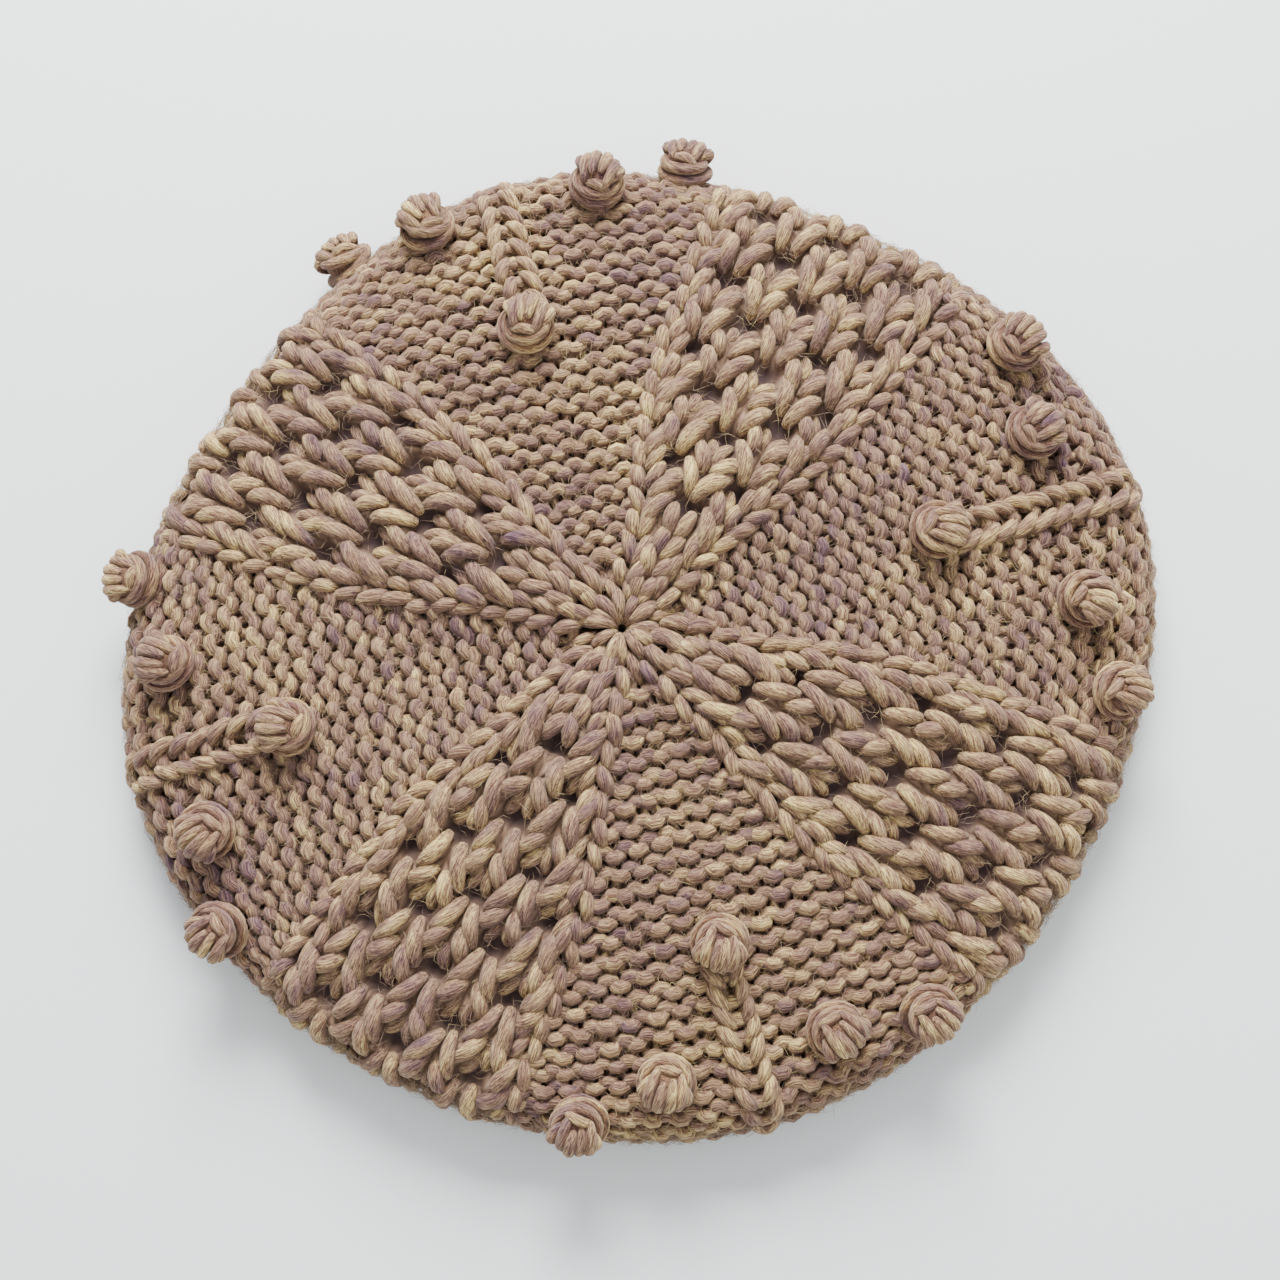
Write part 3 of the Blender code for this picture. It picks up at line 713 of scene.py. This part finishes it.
# The fat strands of a bobble, in millimetres. Rings are loops open towards the rim, one above the
# other. Fingers run from the rim's side over the top, each a distance to one side
BOBBLE_RINGS = (
    {"wide": 5.4, "lift": -4.3, "span": 178, "thick": 1.8},
    {"wide": 6.5, "lift": -1.4, "span": 132, "thick": 1.75},
    {"wide": 5.5, "lift": 1.5, "span": 124, "thick": 1.65},
)
BOBBLE_FINGERS = (
    {"aside": -5.2, "from": -40, "to": 110, "thick": 1.6},
    {"aside": -3.1, "from": -25, "to": 132, "thick": 1.6},
    {"aside": -0.9, "from": -10, "to": 96, "thick": 1.7},
    {"aside": 1.7, "from": -10, "to": 104, "thick": 1.6},
    {"aside": 3.8, "from": -25, "to": 128, "thick": 1.6},
    {"aside": 5.3, "from": -40, "to": 96, "thick": 1.6},
)
BOBBLE_TALL = 4.8 * MM
BOBBLE_WIDE = 6.4 * MM
MIDDLE_SHARE = 0.48  # of a bobble's height
DRAWN_UPRIGHT = (0, 0, 0.8)
STRAND_JITTER = 0.25 * MM
RING_SAG = 0.9 * MM
RING_TILT = 0.9 * MM
CORE_WIDE = 5.8 * MM
CORE_FOOT = 4.4 * MM
CORE_TALL = 5.4 * MM
CORE_SUNK = 0.6 * MM


def ball_axes(out, angle, turn):
    """A bobble's middle and its own directions: to the rim, to the side and up, and the cloth's own.

    Up is half way between square off the cloth and straight up, as a bobble sags on the rim.
    """
    spot = np.array([out - MM, out + MM, out])
    points, normals = cloth(spot, angle, np.array([0, 0, BOBBLE_HEIGHT * MIDDLE_SHARE]))
    side = unit(np.cross(normals[2], points[1] - points[0]))
    normal = unit(normals[2] + DRAWN_UPRIGHT)
    ahead = np.cross(side, normal)
    swing = math.radians(turn)
    turned = ahead * math.cos(swing) + side * math.sin(swing)
    side = side * math.cos(swing) - ahead * math.sin(swing)
    return points[2], turned, side, normal, normals[2]


def bobble(out, angle, turn):
    """A knitted ball: rings round its inner side, fingers over its top, a strand across, a core.

    A ring is a circle that sags by 1 less the cosine of the way round and tilts by its sine. A
    finger is an arc of an ellipse from the rim's side over the top. The core is a ball whose foot
    runs down into the cloth.
    """
    middle, ahead, side, normal, off_cloth = ball_axes(out, angle, turn)
    made = []

    def strand(to_rim, to_side, lift, thick):
        jitter = random.normal(0, STRAND_JITTER, 3)
        line = middle + (to_rim + jitter[0])[:, None] * ahead + (to_side + jitter[1])[:, None] * side
        line = line + (lift + jitter[2])[:, None] * normal
        made.append(tubes(line[None], unit(line - middle)[None], thick[None]))

    for ring in BOBBLE_RINGS:
        swing = np.radians(np.linspace(-1, 1, 15) * ring["span"])
        wide = ring["wide"] * MM
        tilt = random.normal(0, RING_TILT)
        tall = ring["lift"] * MM - RING_SAG * (1 - np.cos(swing)) + tilt * np.sin(swing)
        thick = ring["thick"] * MM * (0.5 + 0.5 * np.cos(swing * 0.6))
        strand(-wide * np.cos(swing), wide * np.sin(swing), tall, thick)
    for finger in BOBBLE_FINGERS:
        over = np.radians(np.linspace(finger["from"], finger["to"], 9))
        inside = math.sqrt(1 - (finger["aside"] * MM / BOBBLE_WIDE) ** 2)
        way = np.sin(np.linspace(0, math.pi, 9))
        aside = finger["aside"] * MM * (0.75 + 0.35 * way)
        thick = finger["thick"] * MM * (0.5 + 0.5 * way**0.6)
        tall = BOBBLE_TALL * inside * np.sin(over) + 0.4 * MM * way
        strand(BOBBLE_WIDE * inside * np.cos(over), aside, tall, thick)
    bend = np.linspace(-1, 1, 9)
    hump = np.cos(bend * math.pi / 2)
    lean = random.normal(0.8, 0.5) * MM
    strand(-3.5 * MM + lean * bend, 3.4 * MM * bend, (2.1 + 1.7 * hump) * MM, (0.7 + 0.8 * hump**0.6) * MM)
    rows = np.linspace(-1, 1, 9)
    core = middle + (rows * CORE_TALL - CORE_SUNK)[:, None] * off_cloth
    radii = CORE_WIDE * np.sqrt(np.maximum(1 - rows**2, 0.02))
    radii = np.where(rows < 0, np.maximum(radii, CORE_FOOT), radii)
    made.append(tubes(core[None], np.broadcast_to(ahead, core.shape)[None], radii[None], 12))
    return made


def stem(axis, bobble_out):
    """A hairpin of two ropes whose plump legs meet towards the rim, and a loop round the end."""
    end = rim_distance(STEM_END_DEG, axis)
    start = bobble_out + BOBBLE_RADIUS - 4 * MM
    count = round((end - 4 * MM - start) / STEM_PITCH)
    out = start + np.arange(count) * STEM_PITCH
    made = []
    for hand, outer, inner in STEM_ROPES:
        foot = np.stack([np.full(count, hand * outer), out], -1)
        head = np.stack([np.full(count, hand * inner), out + STEM_LONG], -1)
        made.append(legs(foot, head, axis, STEM_LIFTS, STEM_RADIUS, hand * STEM_BOW, STEM_STRAY))
    bend = np.linspace(0, math.pi, 11)
    across = 2.6 * MM * np.cos(bend) * (1 + 0.2 * (1 - np.sin(bend)))
    along = end - 3.2 * MM + 4.2 * MM * np.sin(bend)
    line, above = beside_axis(across, along, axis, (0.2 + 1.5 * np.sin(bend)) * MM)
    made.append(tubes(line[None], above[None], (STEM_RADIUS * (0.55 + 0.45 * np.sin(bend)))[None]))
    return made


# The gathered middle

STAR_PETALS = 12
# Each round of stitches: where it starts and ends, its lift, its thickness and its turn in petals
STAR_ROUNDS = ((1.4 * MM, 10.5 * MM, -1.2 * MM, 1.0, 0.0), (5 * MM, 15 * MM, -2.6 * MM, 0.95, 0.5))
STAR_ARCH = 3.9 * MM
STAR_TWIST = 0.12


def star():
    """Stitches drawn up round a small hole, and a second round between and behind them."""
    made = []
    for inner, outer, low, size, turn in STAR_ROUNDS:
        angle = np.arange(STAR_PETALS) * ROUND_TURN / STAR_PETALS + random.normal(0, 0.07, STAR_PETALS)
        angle = angle + turn * ROUND_TURN / STAR_PETALS
        way = np.linspace(0, 1, 11)
        reach = outer + random.normal(0, 0.8 * MM, (STAR_PETALS, 1))
        out = inner + (reach - inner) * way
        lift = low + STAR_ARCH * np.sin(math.pi * way**0.8)
        lift = lift + random.normal(0, 0.3 * MM, (STAR_PETALS, 1))
        line, above = cloth(out, angle[:, None] + STAR_TWIST * way, lift)
        radii = THICK_YARN * size * (0.3 + 0.72 * np.sin(math.pi * way**1.25) ** 0.8)
        made.append(tubes(line, above, radii * random.normal(1, 0.08, (STAR_PETALS, 1))))
    return made


# Loose fibres

FIBRES = 37000
FIBRES_AT_RIM = 0.3  # the share that shows against the table
FIBRE_RADIUS = 0.055 * MM
FIBRE_SHORTEST = 2.5 * MM
FIBRE_LONGEST = 8 * MM
FIBRE_RISE = 1.1 * MM
FIBRE_BEND = 0.2
THINNED = 0.7  # the share that goes where a cable lies under them


def spindles(lines, radius):
    """Fine closed spindles, each from a tip by a three-cornered middle to a tip.

    lines is (count, 3, 3): the two tips with the middle between them.
    """
    count = len(lines)
    rests = np.maximum(lines[..., 2:], radius)
    lines = np.concatenate([lines[..., :2], rests], axis=-1)
    ahead = unit(lines[:, 2] - lines[:, 0])
    side = unit(np.cross(ahead, (0.0, 0.0, 1.0)))
    up = np.cross(side, ahead)
    turn = np.arange(3) * ROUND_TURN / 3
    ring = np.cos(turn)[:, None] * side[:, None] + np.sin(turn)[:, None] * up[:, None]
    points = np.concatenate([lines[:, :1], lines[:, 1:2] + radius * ring, lines[:, 2:]], axis=1)
    here, beside = np.arange(3) + 1, (np.arange(3) + 1) % 3 + 1
    first, last = np.stack([0 * here, here, beside], -1), np.stack([0 * here + 4, beside, here], -1)
    faces = np.concatenate([first, last]) + np.arange(count)[:, None, None] * 5
    strands = np.repeat(random.uniform(0, SKEIN / MM, (count, 3)), 5, axis=0)
    return points.reshape(-1, 3), strands, np.zeros((0, 4), int), faces.reshape(-1, 3)


def loose_fibres():
    """Fibres that stray from the yarn: each runs over the cloth, bends and lifts off it.

    Places are spread evenly by area, a share of them lies along the rim, and they are thinner
    over the cables. A fibre's heading is random, its middle is pushed to one side, and its height
    grows from one tip to the other by a random rise.
    """
    angle = random.uniform(0, ROUND_TURN, (FIBRES, 1))
    reach = rim_distance(120, angle)
    out = reach * np.sqrt(random.uniform(0.002, 1, (FIBRES, 1)))
    at_rim = rim_distance(random.uniform(60, 105, (FIBRES, 1)), angle)
    out = np.where(random.uniform(0, 1, (FIBRES, 1)) < FIBRES_AT_RIM, at_rim, out)
    heading = random.uniform(0, ROUND_TURN, (FIBRES, 1))
    long = random.uniform(FIBRE_SHORTEST, FIBRE_LONGEST, (FIBRES, 1))
    bend = random.normal(0, FIBRE_BEND, (FIBRES, 1)) * long
    way = np.array([0, 0.5, 1])
    ahead, aside = long * (way - 0.5), bend * np.sin(math.pi * way)
    outward = out + ahead * np.cos(heading) - aside * np.sin(heading)
    across = ahead * np.sin(heading) + aside * np.cos(heading)
    raised = under_cable(out, angle) * (1 - 0.8 * rounded(0.66, 0.82, out / reach))
    rise = np.abs(random.normal(0, FIBRE_RISE, (FIBRES, 1)))
    lift = (0.7 + 2.6 * raised) * MM + rise * way + random.normal(0, 0.3 * MM, (FIBRES, 1))
    line, _ = cloth(np.abs(outward), angle + across / np.maximum(radius_at(out, angle), 4 * MM), lift)
    kept = random.uniform(0, 1, FIBRES) > THINNED * raised[:, 0]
    return [spindles(line[kept], FIBRE_RADIUS)]


# The ribbed band

BAND_RIBS = 36
BAND_PITCH = 5.0 * MM
BAND_STITCHES = 6
BAND_COURSES = 5
RIB_LONG = 7.4 * MM
RIB_DEPTH = 2.6 * MM
RIB_ARCH = 1.1 * MM
RIB_RADIUS = 1.45 * MM
RIB_MEAN_RADIUS = 80 * MM
COURSE_DEPTH = 2.4 * MM
COURSE_WAVE = 0.9 * MM
COURSE_RADIUS = 1.4 * MM
ROUND_STEPS = 144
LINING_ROWS = 60
LINING_LIFTS = (-3.2 * MM, -4.9 * MM)
BAND_ROWS = 8


def band_surface(along, angle, depth):
    """Points under the band and round its inner edge, sunk by depth, with their normals.

    Along runs inwards from the band's outer edge, then round a half circle.
    """
    round_edge = BAND_THICKNESS / 2
    straight = BAND_OUTER_RADIUS - OPENING_RADIUS - round_edge
    turn = np.clip((along - straight) / round_edge, 0, math.pi)
    past = along - np.clip(along, straight, straight + math.pi * round_edge)
    centre = OPENING_RADIUS + round_edge - np.minimum(past, 0) + np.maximum(past, 0)
    centre = np.where(past < 0, BAND_OUTER_RADIUS - along, centre)
    radius = centre - (round_edge - depth) * np.sin(turn)
    height = round_edge - (round_edge - depth) * np.cos(turn)
    toward = np.stack([np.cos(angle), np.sin(angle), 0 * angle], -1)
    up = np.array([0.0, 0.0, 1.0])
    normal = -np.sin(turn)[..., None] * toward - np.cos(turn)[..., None] * up
    return radius[..., None] * toward + height[..., None] * up, normal


def band():
    """Ribs of V stitches running inwards over purl courses; band_core makes the plain ring inside them."""
    rib = np.arange(BAND_RIBS) * ROUND_TURN / BAND_RIBS
    row = np.arange(BAND_STITCHES) * BAND_PITCH - 1.5 * MM
    way = np.linspace(0, 1, 7)
    made = []
    for hand in (-1, 1):
        along = np.tile(row[:, None] + RIB_LONG * way, (BAND_RIBS, 1))
        aside = hand * (0.9 + 1.3 * way) * MM
        angle = np.repeat(rib, BAND_STITCHES)[:, None] + aside / RIB_MEAN_RADIUS
        depth = RIB_DEPTH - RIB_ARCH * np.sin(math.pi * way)
        depth = depth + random.normal(0, 0.12 * MM, (len(angle), 1))
        line, above = band_surface(along, angle, depth)
        radii = np.broadcast_to(RIB_RADIUS * (0.5 + 0.5 * np.sin(math.pi * way) ** 0.7), along.shape)
        made.append(tubes(line, above, radii, HIDDEN_SIDES))
    turn = np.linspace(0, ROUND_TURN, BAND_RIBS * 8 + 1)
    for course in range(BAND_COURSES):
        wave = np.cos(BAND_RIBS * turn)
        along = course * BAND_PITCH + 3 * MM + COURSE_WAVE * np.cos(2 * BAND_RIBS * turn)
        line, above = band_surface(along, turn, COURSE_DEPTH + COURSE_WAVE * wave)
        made.append(tubes(line[None], above[None], np.full((1, len(turn)), COURSE_RADIUS), HIDDEN_SIDES))
    return made


def shell(name, outside, inside, strands, finish, nodes):
    """A closed wall between two grids of points that share their rims, rows from middle to edge.

    Each grid is (rows, steps, 3), and rows run round and close on themselves.
    """
    rows, steps = outside.shape[:2]
    points = np.concatenate([outside, inside[::-1]]).reshape(-1, 3)
    values = np.concatenate([strands, strands[::-1]]).reshape(-1, 3)
    row, step = np.meshgrid(np.arange(2 * rows), np.arange(steps), indexing="ij")
    ahead, across = (row + 1) % (2 * rows), (step + 1) % steps
    here, there = row * steps, ahead * steps
    quads = np.stack([here + step, there + step, there + across, here + across], -1)
    no_caps = np.zeros((0, 3), int)
    piece(name, [(points, values, quads.reshape(-1, 4), no_caps)], finish, nodes)


def lining(finish):
    """The inside of the cloth, a wall behind the yarn from the gathered middle to the band."""
    angle = PLAIN_AXIS + np.arange(ROUND_STEPS) * ROUND_TURN / ROUND_STEPS
    share = np.linspace(0.004, 1, LINING_ROWS)[:, None]
    out = share * (edge_length(angle) - 1 * MM)
    outside, inside = (cloth(out, angle[None], lift)[0] for lift in LINING_LIFTS)
    wales = abs(angle - PLAIN_AXIS - math.pi) / ROUND_TURN * PANELS * SECTOR_STITCHES
    wales = np.broadcast_to(wales, out.shape)
    strands = np.stack([wales, out / COURSE, 0 * wales], -1)
    shell("lining", outside, inside, strands, finish, ["crown"])


def band_core(finish):
    """The band's inside face, a plain knitted ring that the ribs are laid under."""
    steps, rows = ROUND_STEPS, BAND_ROWS
    angle = np.arange(steps) * ROUND_TURN / steps
    radius = np.linspace(BAND_OUTER_RADIUS - 0.5 * MM, OPENING_RADIUS + 2.4 * MM, rows)[:, None]
    toward = np.stack([np.cos(angle), np.sin(angle)], -1)
    flat = radius[..., None] * toward[None]
    low = np.concatenate([flat, np.full((rows, steps, 1), 3.2 * MM)], -1)
    high = np.concatenate([flat, np.full((rows, steps, 1), BAND_THICKNESS)], -1)
    wales = np.broadcast_to(abs(angle - math.pi) / ROUND_TURN * 2 * BAND_RIBS, (rows, steps))
    strands = np.stack([wales, np.broadcast_to(radius / BAND_PITCH, (rows, steps)), 0 * wales], -1)
    shell("band_inside", low, high, strands, finish, ["band"])


# Camera and light

CAMERA_ELEVATION = math.radians(80)
CAMERA_DISTANCE = 600 * MM
AIM = MIDDLE + np.array([4.7 * MM, -0.9 * MM, 15 * MM])
METRE_IN_PIXELS = 1 / (0.265 * MM)
PHOTO_SIZE = 1280
SENSOR = 36
TABLE_HALF = 15
WINDOW = {"place": (-0.06, 1.03, 0.86), "size": 0.7, "power": 64}
FILL = {"place": (0.9, -0.5, 1.0), "size": 1.2, "power": 5}
ROOM_LIGHT = 1.3


def add_camera():
    """The photograph's view: from a little below straight down, aimed at the hat's middle."""
    data = bpy.data.cameras.new("camera")
    data.sensor_width = SENSOR
    data.lens = METRE_IN_PIXELS * CAMERA_DISTANCE * SENSOR / PHOTO_SIZE
    camera = bpy.data.objects.new("camera", data)
    bpy.context.scene.collection.objects.link(camera)
    looks = np.array([0, math.cos(CAMERA_ELEVATION), -math.sin(CAMERA_ELEVATION)])
    camera.location = AIM - looks * CAMERA_DISTANCE
    camera.rotation_euler = (math.pi / 2 - CAMERA_ELEVATION, 0, 0)
    bpy.context.scene.camera = camera


def add_light(name, place, size, power):
    """A soft square light that faces the hat."""
    data = bpy.data.lights.new(name, "AREA")
    data.size = size
    data.energy = power
    made = bpy.data.objects.new(name, data)
    bpy.context.scene.collection.objects.link(made)
    made.location = place
    made.rotation_euler = (-made.location).to_track_quat("-Z", "Y").to_euler()


def add_room():
    """A pale room whose walls light the hat evenly."""
    world = bpy.data.worlds.new("room")
    bpy.context.scene.world = world
    world.use_nodes = True
    settle(world.node_tree.nodes["Background"], Color=linear("e9ecee"), Strength=ROOM_LIGHT)


def add_table():
    """The pale matt surface that the hat lies on."""
    corners = [(x * TABLE_HALF, y * TABLE_HALF, 0) for x, y in ((-1, -1), (1, -1), (1, 1), (-1, 1))]
    mesh = bpy.data.meshes.new("floor")
    mesh.from_pydata(corners, [], [(0, 1, 2, 3)])
    floor = bpy.data.objects.new("floor", mesh)
    bpy.context.scene.collection.objects.link(floor)
    paint, _, shader = new_material("pale matt table")
    settle(shader, Base_Color=linear("dfe2e3"), Roughness=0.6)
    mesh.materials.append(paint)


# The scene

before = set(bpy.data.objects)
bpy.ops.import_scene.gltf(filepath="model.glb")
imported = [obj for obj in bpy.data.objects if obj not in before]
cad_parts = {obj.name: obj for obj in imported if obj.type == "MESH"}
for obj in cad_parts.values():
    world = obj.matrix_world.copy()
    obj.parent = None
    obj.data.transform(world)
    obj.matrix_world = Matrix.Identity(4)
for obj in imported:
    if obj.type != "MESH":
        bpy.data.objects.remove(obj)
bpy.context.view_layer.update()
wool = hand_dyed_wool("hand-dyed wool, purl side", -0.015)
cable_wool = hand_dyed_wool("hand-dyed wool, cable", 0.005)
bobble_wool = hand_dyed_wool("hand-dyed wool, bobbles")
rib_wool = hand_dyed_wool("hand-dyed wool, rib", -0.01)
# the smooth side and the cloth behind the cables are painted in shaded browns, darker than the yarn's dye
lining_wool = knit_lining("hand-dyed wool, smooth side", ("62483f", "806450", "9a7d63"))
back_wool = knit_lining("hand-dyed wool, behind the cables", ("67503f", "856a57", "9a7e67"))

plain_axes = [PLAIN_AXIS + number * ROUND_TURN / PANELS for number in range(PANELS)]
for number, axis in enumerate(plain_axes, start=1):
    cable_axis = axis + math.pi / PANELS
    piece(f"plain_top_{number}", plain_panel(axis), wool, ["crown"])
    piece(f"cable_{number}", honeycomb(cable_axis), cable_wool, [f"honeycomb_{number}"])
    piece(f"cable_back_{number}", [cable_back(cable_axis)], back_wool, [f"honeycomb_{number}"])
    balls, names, strays = [], [], PANEL_ROWS[number - 1]
    for row in BOBBLES:
        on_stem = row["name"] == "stem"
        out = strays["stem_out"] if on_stem else row["out"] + strays["more_out"]
        aside = row["aside"] + (0 if on_stem else strays["more_aside"])
        balls += bobble(out * HAT_RADIUS, axis + math.radians(aside), row["turn"])
        names.append(f"bobble_{number}_{row['name']}")
    piece(f"bobbles_{number}", balls, bobble_wool, names)
    hairpin = stem(axis, strays["stem_out"] * HAT_RADIUS)
    piece(f"hairpin_{number}", hairpin, bobble_wool, [f"stem_{number}"])
piece("star", star(), cable_wool, ["centre_star"])
piece("loose_fibres", loose_fibres(), cable_wool)
piece("ribs", band(), rib_wool, ["band"])
lining(lining_wool)
band_core(lining_wool)

add_camera()
add_light("window", **WINDOW)
add_light("fill", **FILL)
add_room()
add_table()
